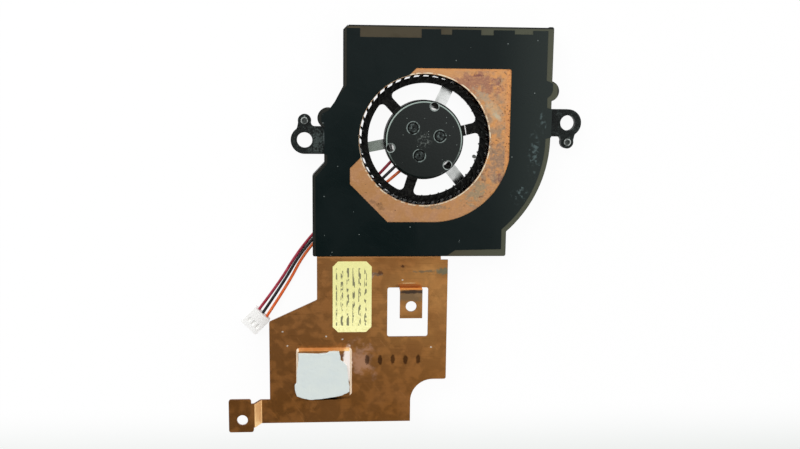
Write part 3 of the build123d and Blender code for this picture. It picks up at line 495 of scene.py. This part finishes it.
blade_black, tree, surface = start_finish("impeller black", Specular_IOR_Level=0.12, Coat_Roughness=0.2)
axes = split(tree, here(tree))
radius = length(tree, lay(tree, "CombineXYZ", {0: axes[0], 1: axes[1]}).outputs[0])
hub_r = 8.6
hub_face = ease(tree, radius, hub_r * MM, (hub_r - 0.3) * MM)
face_level = ease(tree, axes[2], 4.7 * MM, 4.9 * MM)
satin = both_masks(tree, hub_face, face_level)
moulded = place_effect(tree, blotches, Size=0.5 * MM, Detail=5.0, From=0.42, To=0.7)
tone = blend_colours(tree, moulded, shade(6, 6, 6), shade(34, 34, 31))
tone = blend_colours(tree, satin, tone, shade(4, 19, 16))
middle = ease(tree, radius, 2.2 * MM, 0.6 * MM)
film_of_dust = place_effect(tree, blotches, Size=0.5 * MM, Detail=6.0, From=0.5, To=0.64)
tone = blend_colours(tree, both_masks(tree, middle, film_of_dust), tone, shade(92, 98, 94))
specked = place_effect(tree, specks, Spacing=0.8 * MM, Radius=0.12, Share=0.2)
tone = blend_colours(tree, specked, tone, shade(116, 124, 120))
# Painted highlight: a pale ring just inside the hub's rounded edge, fading out towards the bottom.
highlight_upper_side = ease(tree, axes[1], -6.5 * MM, 0.5 * MM)
edge_highlight = place_effect(tree, hoops, Radius=(hub_r - 0.28) * MM, Width=0.34 * MM, Worn=0.26)
edge_highlight = both_masks(tree, both_masks(tree, edge_highlight, highlight_upper_side), face_level)
tone = blend_colours(tree, edge_highlight, tone, shade(150, 166, 158))
# Painted highlight: a light ring round each vent's bevelled lip.
for x, y in thirds(place_r=7.68, first_angle=73.5):
    vent_lip_highlight = place_effect(tree, hoops, X=x * MM, Y=y * MM, Radius=0.98 * MM, Width=0.26 * MM, Worn=0.3)
    tone = blend_colours(tree, both_masks(tree, vent_lip_highlight, face_level), tone, shade(150, 160, 156))
# Painted highlight: a light ring round each stud pocket's edge.
for x, y in thirds(place_r=3.62, first_angle=13.5):
    stud_lip_highlight = place_effect(tree, hoops, X=x * MM, Y=y * MM, Radius=1.36 * MM, Width=0.3 * MM, Worn=0.42)
    tone = blend_colours(tree, stud_lip_highlight, tone, shade(122, 134, 130))
    stud_face = patch(tree, (x, y), (1.1, 1.1), ragged=0.1, soft=0.2)
    tone = blend_colours(tree, both_masks(tree, stud_face, film_of_dust), tone, shade(84, 94, 92))
# Painted highlight: a white line across the right spoke's root, where its rounded edge catches the light.
tone = blot(tree, tone, shade(255, 255, 255), (9.18, 2.22), (0.14, 1.5), turn=-0.18, ragged=0.0, soft=0.3)
feed(
    tree,
    surface,
    Base_Color=tone,
    Roughness=ease(tree, satin, 0, 1, 0.5, 0.3),
    Coat_Weight=ease(tree, satin, 0, 1, 0.0, 0.62),
)
roughen(tree, surface, moulded, 0.01 * MM)
dress("impeller", blade_black)


def close_mesh(name, shape, material):
    """Turn a finished shape into a mesh with one material."""
    mesh = bpy.data.meshes.new(name)
    shape.to_mesh(mesh)
    shape.free()
    mesh.materials.append(material)
    return mesh


polished, tree, surface = start_finish("polished rim", Metallic=0.25, Roughness=0.2)
worn = place_effect(tree, blotches, Size=0.6 * MM, Detail=3.0)
feed(tree, surface, Base_Color=blend_colours(tree, worn, shade(252, 252, 250), shade(222, 222, 220)))
rim_in_r = 6.87
rim_out_r = 7.28
rim_z = 4.3
rim_t = 0.15
shape = bmesh.new()
bmesh.ops.create_circle(shape, segments=96, radius=rim_in_r * MM)
outward = bmesh.ops.extrude_edge_only(shape, edges=shape.edges[:])["geom"]
outer = [part for part in outward if isinstance(part, bmesh.types.BMVert)]
bmesh.ops.scale(shape, vec=(rim_out_r / rim_in_r, rim_out_r / rim_in_r, 1), verts=outer)
sheet = bmesh.ops.extrude_face_region(shape, geom=shape.faces[:])["geom"]
lifted = [part for part in sheet if isinstance(part, bmesh.types.BMVert)]
bmesh.ops.translate(shape, vec=(0, 0, rim_t * MM), verts=lifted)
bmesh.ops.translate(shape, vec=(0, 0, rim_z * MM), verts=shape.verts[:])
bmesh.ops.recalc_face_normals(shape, faces=shape.faces[:])
yoke_rim = set_down("yoke_rim", close_mesh("yoke_rim", shape, polished))
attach(yoke_rim, "rotor")

paste, tree, surface = start_finish("balancing paste", Roughness=0.6)
lumps = place_effect(tree, blotches, Size=0.3 * MM, Detail=3.0)
feed(tree, surface, Base_Color=blend_colours(tree, lumps, shade(104, 106, 102), shade(66, 68, 66)))
roughen(tree, surface, lumps, 0.05 * MM)
dress("balance_weight", paste)


# The copper sheet: the fan's near cover, a small joggle and the heat-spreader plate, all in one pressing.
# Its bends and the pedestal's side walls carry painted highlights in orange and white, and it is dark on its
# cut edges.
# Over the plate it is brown and fingerprinted, painted darker to the left (partly tarnish, partly painted
# shade) and towards the bottom (painted shade), with painted shade and a painted highlight on the tongue and
# a painted shadow under the pad.
# Round the inlet it is rubbed, pitted and stained in grey and purple, with a painted highlight on the
# inlet's edge.
def stains_and_painted_light(tree, tone, rows):
    """Lay stains, painted shade and painted highlights over a tone: colour, place, reach, share, turn,
    raggedness, softness and grain of each.
    """
    for colour, place_mm, reach_mm, share, turn, ragged, soft, size in rows:
        look = {"turn": turn, "ragged": ragged, "soft": soft, "size": size}
        tone = blot(tree, tone, shade(*colour), place_mm, reach_mm, share, **look)
    return tone


copper, tree, surface = start_finish("tarnished copper")
coords = lay(tree, "TexCoord", {}).outputs
axes = split(tree, coords["Object"])
facing = split(tree, coords["Normal"])
over_plate = ease(tree, axes[1], -25.4 * MM, -26.4 * MM)
sideways = ease(tree, work(tree, "ABSOLUTE", facing[0]), 0.2, 0.5)
past_tongue = ease(tree, axes[1], -34 * MM, -36 * MM)
high_up = ease(tree, axes[2], 7.7 * MM, 8.1 * MM)
folds = work(tree, "MAXIMUM", past_tongue, high_up)
# Painted highlight: sloped faces at the bends are picked out for a bright colour.
bend_highlight = both_masks(tree, ease(tree, facing[2], 0.97, 0.8), folds)
cut = ease(tree, facing[2], 0.12, 0.04)

fine_mottle = place_effect(tree, blotches, Size=0.45 * MM, Detail=6.0, From=0.42, To=0.66)
mottle = place_effect(tree, blotches, Size=2.2 * MM, Detail=7.0, From=0.44, To=0.62, Shift=0.03)
tone = blend_colours(tree, mottle, shade(216, 158, 106), shade(200, 150, 112))
right_side = ease(tree, axes[0], 7 * MM, 12 * MM)
grey_cloud = place_effect(tree, blotches, Size=2.6 * MM, Detail=8.0, From=0.46, To=0.6, Shift=0.21)
tone = blend_colours(tree, both_masks(tree, right_side, grey_cloud), tone, shade(172, 144, 118))
orange_cloud = place_effect(tree, blotches, Size=2.2 * MM, Detail=8.0, From=0.5, To=0.6, Shift=0.37)
tone = blend_colours(tree, both_masks(tree, right_side, orange_cloud), tone, shade(222, 158, 100))
grime = place_effect(tree, blotches, Size=0.7 * MM, Detail=6.0, From=0.56, To=0.7, Shift=0.53)
tone = blend_colours(tree, both_masks(tree, right_side, grime), tone, shade(136, 96, 74))
above_inlet = (
    ((168, 120, 100), (11.5, 12.4), (7.0, 2.6), 0.9, 0.1, 0.8, 0.5, 1.6),
    ((132, 88, 84), (11.6, 14.2), (1.5, 0.4), 0.8, 0.0, 0.9, 0.6, 0.6),
    ((146, 104, 96), (15.4, 12.6), (1.2, 1.3), 0.7, 0.0, 1.0, 0.6, 0.8),
    ((186, 164, 138), (12.6, 9.6), (2.6, 1.3), 0.8, 0.75, 0.9, 0.6, 0.9),
    ((204, 184, 152), (15.2, 6.6), (3.4, 1.7), 0.7, 0.8, 0.5, 0.9, 1.2),
    ((204, 194, 166), (15.9, 5.4), (1.6, 0.8), 0.9, 0.8, 0.3, 0.8, 0.8),
)
below_inlet = (
    ((156, 130, 112), (16.4, -4.6), (2.3, 4.6), 0.85, 0.15, 0.9, 0.6, 1.3),
    ((140, 102, 92), (17.0, -8.6), (1.3, 1.2), 0.8, 0.0, 0.9, 0.6, 0.7),
    ((168, 152, 124), (12.0, -11.4), (3.6, 1.7), 0.85, -0.8, 0.9, 0.5, 0.8),
    ((158, 138, 116), (2.6, -14.8), (3.4, 0.55), 0.8, 0.0, 0.9, 0.6, 0.7),
    ((150, 112, 84), (-10.5, -14.2), (2.6, 0.7), 0.6, 0.5, 1.0, 0.6, 0.7),
)
tone = stains_and_painted_light(tree, tone, above_inlet + below_inlet)
top_band = ease(tree, axes[1], 14.9 * MM, 15.6 * MM)
side_band = ease(tree, axes[0], 17.6 * MM, 18.3 * MM)
bare_band = work(tree, "MAXIMUM", top_band, side_band)
tone = blend_colours(tree, bare_band, tone, shade(234, 166, 104))
by_side = ease(tree, axes[0], 16.6 * MM, 19.0 * MM)
pits = place_effect(tree, specks, Spacing=0.5 * MM, Radius=0.3, Share=0.5)
tone = blend_colours(tree, both_masks(tree, by_side, pits), tone, shade(92, 58, 40))
tone = blend_colours(tree, both_masks(tree, bare_band, fine_mottle), tone, shade(196, 128, 84))
brushed = place_effect(tree, scratches, Turn=0.2, Length=2.5 * MM, Width=0.1 * MM, From=0.4, To=0.75)
tone = blend_colours(tree, both_masks(tree, brushed, fine_mottle), tone, shade(236, 182, 132))
dots = place_effect(tree, specks, Spacing=1.3 * MM, Radius=0.1, Share=0.35)
tone = blend_colours(tree, dots, tone, shade(118, 78, 56))
inlet_r = 14.4
# Painted highlight: a bright ring along the inlet's cut edge.
inlet_lip_highlight = place_effect(tree, hoops, Radius=(inlet_r + 0.16) * MM, Width=0.3 * MM, Worn=0.4)
cover_tone = blend_colours(tree, inlet_lip_highlight, tone, shade(250, 236, 206))

# The plate is darker to the left, partly tarnish and partly painted shade, and darker towards the bottom as
# painted shade.
shade_and_tarnish_across = ease(tree, axes[0], -30 * MM, 2 * MM)
tone = blend_colours(tree, shade_and_tarnish_across, shade(176, 122, 74), shade(206, 148, 88))
painted_shade_down_plate = ease(tree, axes[1], -30 * MM, -62 * MM)
tone = blend_colours(tree, painted_shade_down_plate, tone, shade(166, 110, 58))
smudge = place_effect(tree, blotches, Size=9 * MM, Detail=3.0, From=0.4, To=0.7, Shift=0.11)
tone = blend_colours(tree, smudge, tone, shade(174, 118, 68))
hairline = place_effect(tree, scratches, Turn=0.9, Length=7 * MM, Width=0.06 * MM, From=0.68, To=0.78)
tone = blend_colours(tree, hairline, tone, shade(214, 160, 108))
level_line = place_effect(tree, scratches, Turn=0.03, Length=6 * MM, Width=0.09 * MM, From=0.6, To=0.74)
tone = blend_colours(tree, level_line, tone, shade(148, 98, 54))
over_the_plate = (
    ((200, 152, 122), (-13.4, -49.4), (3.4, 5.0), 0.75, -0.2, 0.7, 0.7, 2.0),
    ((134, 130, 104), (4.4, -29.3), (2.6, 0.9), 0.9, 0.0, 0.5, 0.6, 0.8),
    ((140, 122, 94), (0.6, -29.3), (3.6, 0.35), 0.8, -0.04, 0.6, 0.6, 0.7),
    ((134, 112, 92), (-10.4, -29.9), (1.8, 0.5), 0.8, 0.1, 0.6, 0.6, 0.8),
    ((92, 62, 44), (-4.5, -28.1), (0.6, 0.5), 0.9, 0.0, 0.6, 0.6, 0.5),
    ((104, 72, 54), (-9.6, -29.6), (0.7, 0.6), 0.8, 0.0, 0.7, 0.6, 0.5),
    ((196, 176, 160), (-11.6, -30.6), (0.5, 1.2), 0.7, 0.5, 0.6, 0.6, 0.5),
)
ink_dabs = tuple(
    ((70, 46, 30), (-12.4 + 2.9 * dab, -49.7 - 0.1 * (dab % 2)), (0.62, 1.4), 0.8, 0.0, 0.25, 0.4, 0.5)
    for dab in range(5)
)
# Painted shade: dark bands across the tongue below its fold. Painted highlight: a bright line where the fold
# starts.
tongue_shade_and_highlight = (
    ((158, 130, 98), (-2.78, -34.4), (4.2, 1.6), 0.9, -0.05, 0.25, 0.5, 0.9),
    ((78, 66, 60), (-2.78, -33.4), (4.2, 0.55), 0.9, -0.03, 0.25, 0.5, 0.9),
    ((178, 118, 70), (-3.1, -32.5), (3.2, 0.45), 1.0, 0.0, 0.08, 0.3, 0.6),
    ((255, 232, 180), (-3.1, -32.0), (2.1, 0.11), 0.9, 0.0, 0.12, 0.6, 0.6),
)
# Painted shadow: a dark line on the plate along the pad's lower edge.
shadow_under_pad = (((24, 14, 8), (-21.7, -58.75), (5.8, 0.5), 1.0, -0.02, 0.2, 0.6, 1.2),)
tone = stains_and_painted_light(tree, tone, over_the_plate + ink_dabs + tongue_shade_and_highlight + shadow_under_pad)
# Pad residue at the torn corner, and a painted highlight along the pedestal's right wall.
residue_and_wall_highlight = patch(tree, (-16.9, -50.6), (1.25, 5.2), ragged=0.25)
tone = blend_colours(tree, residue_and_wall_highlight, tone, shade(252, 240, 232))
tone = stains_and_painted_light(tree, tone, [((150, 112, 98), (-18.1, -48.3), (0.5, 0.7), 0.8, 0.0, 0.5, 0.7, 0.5)])
nicks = ((-31.41, -43.02), (-30.36, -46.3), (-21.67, -44.2), (-18.0, -44.9), (-4.56, -31.28), (2.1, -46.9))
for nick_place in nicks:
    tone = blot(tree, tone, shade(255, 248, 232), nick_place, (0.26, 0.2), ragged=0.3, size=0.3)

tone = blend_colours(tree, over_plate, cover_tone, tone)
# Painted highlights: bends are orange, and the pedestal's side walls are near white and less metallic.
pad_wall_highlight = both_masks(tree, sideways, ease(tree, axes[0], -34.5 * MM, -33.5 * MM))
fold_highlight_tone = blend_colours(tree, pad_wall_highlight, shade(255, 212, 150), shade(255, 240, 214))
tone = blend_colours(tree, bend_highlight, tone, fold_highlight_tone)
tone = blend_colours(tree, cut, tone, shade(120, 74, 44))
chalk_and_highlight = work(tree, "MAXIMUM", residue_and_wall_highlight, both_masks(tree, bend_highlight, pad_wall_highlight))
arm_wall_highlight = both_masks(tree, both_masks(tree, bend_highlight, sideways), ease(tree, axes[0], -33.5 * MM, -34.5 * MM))
chalk_and_highlight = work(tree, "MULTIPLY_ADD", arm_wall_highlight, 0.5, chalk_and_highlight)
rub = patch(tree, (-13.8, -50.0), (3.4, 5.0), turn=-0.2, soft=0.7)
chalk_and_highlight = work(tree, "MULTIPLY_ADD", rub, 0.35, chalk_and_highlight)
feed(
    tree,
    surface,
    Base_Color=tone,
    Roughness=ease(tree, mottle, 0, 1, 0.36, 0.46),
    Metallic=ease(tree, chalk_and_highlight, 0, 1, 1, 0.08),
)
roughen(tree, surface, hairline, -0.01 * MM)
dress("copper_plate", copper)


# The gap pad: soft blue-grey silicone, cut by hand from a sheet and pressed on the pedestal.
# Its cut edges are ragged and rounded over, one corner is torn off, and its skin is faintly pitted.
silicone, tree, surface = start_finish("silicone pad", Roughness=0.65, Specular_IOR_Level=0.3)
mottled = place_effect(tree, blotches, Size=2.5 * MM, Detail=5.0, From=0.4, To=0.7)
pitted = place_effect(tree, specks, Spacing=0.5 * MM, Radius=0.14, Share=0.2)
tone = blend_colours(tree, mottled, shade(214, 222, 218), shade(209, 218, 217))
feed(tree, surface, Base_Color=blend_colours(tree, pitted, tone, shade(200, 209, 208)))
soft = place_effect(tree, blotches, Size=1.6 * MM, Detail=3.0, From=0.3, To=0.7)
roughen(tree, surface, soft, 0.03 * MM)

tear_seed = 7
tears_per_metre = 1400
tear_depth = 0.07
rounding = 0.12 * MM
shape = bmesh.new()
shape.from_mesh(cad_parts["thermal_pad"].data)
bmesh.ops.remove_doubles(shape, verts=shape.verts[:], dist=0.001 * MM)
bmesh.ops.dissolve_limit(shape, angle_limit=math.radians(2), verts=shape.verts[:], edges=shape.edges[:])
upright = [edge for edge in shape.edges if abs(edge.verts[0].co.z - edge.verts[1].co.z) > 0.1 * MM]
around = [edge for edge in shape.edges if edge not in upright]
bmesh.ops.subdivide_edges(shape, edges=around, cuts=3, use_grid_fill=True)
noise.seed_set(tear_seed)
for vert in shape.verts:
    torn = noise.noise_vector(vert.co * tears_per_metre) * tear_depth * MM
    vert.co.x += torn.x
    vert.co.y += torn.y
near_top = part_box("thermal_pad")[1][2] - 0.01 * MM
top_edges = [edge for edge in shape.edges if min(vert.co.z for vert in edge.verts) > near_top]
sharp_pairs = [(edge, *edge.link_faces) for edge in top_edges if len(edge.link_faces) == 2]
rim = [edge for edge, one, other in sharp_pairs if abs(one.normal.z - other.normal.z) > 0.5]
bmesh.ops.bevel(
    shape,
    geom=rim,
    offset=rounding,
    offset_type="OFFSET",
    segments=3,
    profile=0.5,
    affect="EDGES",
    material=-1,
)
bmesh.ops.recalc_face_normals(shape, faces=shape.faces[:])
gap_pad = set_down("gap_pad", close_mesh("gap_pad", shape, silicone))
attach(gap_pad, "housing")
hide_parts("thermal_pad")


# The label: pale yellow paper with cut corners, stuck on the plate beside the raised tongue.
# Broken grey rules run down it, inside a plain margin.
paper, tree, surface = start_finish("yellow label", Roughness=0.62, Specular_IOR_Level=0.25)
axes = split(tree, here(tree))
fibres = place_effect(tree, blotches, Size=0.5 * MM, Detail=5.0)
lower = ease(tree, axes[1], -32 * MM, -42 * MM)
tone = blend_colours(tree, lower, shade(234, 231, 156), shade(255, 251, 182))
tone = blend_colours(tree, fibres, tone, shade(240, 235, 162))
rule_pitch = 1.32 * MM
columns = work(tree, "SINE", work(tree, "MULTIPLY", axes[0], 2 * math.pi / rule_pitch))
dashes = place_effect(tree, scratches, Turn=1.5708, Length=1.3 * MM, Width=0.5 * MM, From=0.47, To=0.53)
rules = both_masks(tree, ease(tree, columns, 0.1, 0.4), dashes)
low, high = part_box("label")
off_x = work(tree, "ABSOLUTE", work(tree, "SUBTRACT", axes[0], (low[0] + high[0]) / 2))
off_y = work(tree, "ABSOLUTE", work(tree, "SUBTRACT", axes[1], (low[1] + high[1]) / 2))
half_width = (high[0] - low[0]) / 2
half_height = (high[1] - low[1]) / 2
inside = both_masks(
    tree,
    ease(tree, off_x, half_width - 0.6 * MM, half_width - 0.8 * MM),
    ease(tree, off_y, half_height - 1.4 * MM, half_height - 1.6 * MM),
)
tone = blend_colours(tree, both_masks(tree, rules, inside), tone, shade(126, 125, 96))
feed(tree, surface, Base_Color=tone)
roughen(tree, surface, fibres, 0.01 * MM)
dress("label", paper)


# The films: a smoky see-through film over the whole cover, and a narrower black one on top of it.
# Both are polyester with a soft gloss, creased and scuffed, with dust and a few bright specks on them.
smoky, tree, surface = start_finish("smoky film", Roughness=0.35, Specular_IOR_Level=0.25)
axes = split(tree, here(tree))
uneven = place_effect(tree, blotches, Size=4 * MM, Detail=4.0)
tone = blend_colours(tree, uneven, shade(72, 65, 50), shade(64, 57, 42))
far_right = ease(tree, axes[0], 0, 18 * MM)
tone = blend_colours(tree, far_right, tone, shade(76, 78, 64))
film_left = ease(tree, axes[0], -16.5 * MM, -17.8 * MM)
tone = blend_colours(tree, film_left, tone, shade(34, 36, 32))
edge_x, edge_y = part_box("film_backing")[1][:2]
right_edge = ease(tree, axes[0], edge_x - 0.34 * MM, edge_x - 0.24 * MM)
top_edge = ease(tree, axes[1], edge_y - 0.34 * MM, edge_y - 0.24 * MM)
outline = work(tree, "MAXIMUM", top_edge, right_edge)
feed(tree, surface, Base_Color=blend_colours(tree, outline, tone, shade(26, 28, 26)))
dress("film_backing", smoky)

black_sheet, tree, surface = start_finish("black film", Specular_IOR_Level=0.17)
axes = split(tree, here(tree))
cloudy = place_effect(tree, blotches, Size=12 * MM, Detail=3.0, From=0.35, To=0.7)
tone = blend_colours(tree, cloudy, shade(11, 24, 24), shade(18, 28, 28))
# Lighter towards the right: partly dusty haze, partly painted sheen.
sheen_and_haze = ease(tree, axes[0], 13 * MM, 28 * MM)
tone = blend_colours(tree, sheen_and_haze, tone, shade(40, 47, 45))
scuffed = place_effect(tree, scratches, Turn=0.5, Length=4 * MM, Width=0.2 * MM, From=0.62, To=0.85)
tone = blend_colours(tree, scuffed, tone, shade(30, 36, 35))
fine_dust = place_effect(tree, specks, Spacing=0.6 * MM, Radius=0.1, Share=0.25)
streaks = place_effect(tree, blotches, Size=0.9 * MM, Detail=7.0, From=0.5, To=0.62)
smears = (((24.6, -3.2), (1.5, 6.5)), ((21.6, -12.0), (2.4, 2.2)), ((26.2, 4.5), (0.8, 3.0)))
for smear_place, smear_reach in smears:
    smear = patch(tree, smear_place, smear_reach, soft=0.8)
    tone = blend_colours(tree, both_masks(tree, smear, streaks), tone, shade(78, 92, 92))
    tone = blend_colours(tree, both_masks(tree, smear, fine_dust), tone, shade(86, 94, 94))
bright_specks = place_effect(tree, specks, Spacing=1.6 * MM, Radius=0.07, Share=0.3)
tone = blend_colours(tree, bright_specks, tone, shade(120, 128, 126))
feed(tree, surface, Base_Color=tone, Roughness=ease(tree, cloudy, 0, 1, 0.24, 0.32))
waves = place_effect(tree, blotches, Size=3 * MM, Detail=2.0, From=0.3, To=0.7)
roughen(tree, surface, waves, 0.01 * MM)
dress("black_film", black_sheet)


# The stage: a white bench top that falls off to a pale grey towards the viewer.
# It keeps a faint shadow under the part.
bench, tree, surface = start_finish("white bench", Roughness=0.9)
fall_off = ease(tree, split(tree, here(tree))[1], -62 * MM, -84 * MM)
tone = blend_colours(tree, fall_off, shade(255, 255, 255), shade(228, 232, 229))
feed(tree, surface, Base_Color=tone)
seen = lay(tree, "LightPath", {}).outputs
behind = work(tree, "MAXIMUM", seen["Is Camera Ray"], seen["Is Glossy Ray"])
glow_share = 0.94
glow = lay(tree, "Emission", {0: tone, 1: 1.0}).outputs[0]
share = work(tree, "MULTIPLY", behind, glow_share)
lit = lay(tree, "MixShader", {0: share, 1: surface.outputs[0], 2: glow}).outputs[0]
tree.links.new(lit, tree.nodes["Material Output"].inputs[0])
bench_half = 0.8
shape = bmesh.new()
bmesh.ops.create_grid(shape, x_segments=1, y_segments=1, size=bench_half)
bench_top = set_down("bench_top", close_mesh("bench", shape, bench))


# The light: a broad white surround with one dark patch over the plate's end, and a large soft lamp.
# The lamp stands at the upper left, so what shadow there is falls to the lower right.
world = bpy.data.worlds.new("studio")
bpy.context.scene.world = world
world.use_nodes = True
tree = world.node_tree
direction = lay(tree, "TexCoord", {}).outputs["Generated"]
flat = lay(tree, "VectorMath", {0: direction, 1: (1, 1, 0)}, operation="MULTIPLY").outputs[0]
dark_towards = (-0.25, -0.45, 0)
away = lay(tree, "VectorMath", {0: flat, 1: dark_towards}, operation="DISTANCE").outputs["Value"]
level = ease(tree, away, 0.42, 0.62, 0.1, 1.1)
level = work(tree, "MAXIMUM", level, lay(tree, "LightPath", {}).outputs["Is Camera Ray"])
background = tree.nodes["Background"]
tree.links.new(level, background.inputs["Strength"])
background.inputs["Color"].default_value = (1, 1, 1, 1)

lamp = bpy.data.lights.new("soft_lamp", "AREA")
lamp.shape = "DISK"
lamp.size = 0.35
lamp.energy = 0.9
soft_lamp = set_down("soft_lamp", lamp)
soft_lamp.location = (-0.28, 0.3, 0.42)
soft_lamp.rotation_euler = Vector(soft_lamp.location).to_track_quat("Z", "Y").to_euler()


# The camera: straight above the part, a little to the left and towards the exhaust.
# It leans down at the plate, and its lens takes in the whole part with a margin of bench.
lens = bpy.data.cameras.new("camera")
lens.sensor_fit = "HORIZONTAL"
lens.sensor_width = 36
lens.lens = 39.6
lens.clip_start = 0.01
lens.clip_end = 10
camera = set_down("camera", lens)
camera.location = [c * MM for c in (-19.322, 10.663, 199.306)]
camera.rotation_euler = [math.radians(angle) for angle in (-8.677, -4.071, 0.624)]
bpy.context.scene.camera = camera
bpy.context.scene.view_settings.view_transform = "Standard"
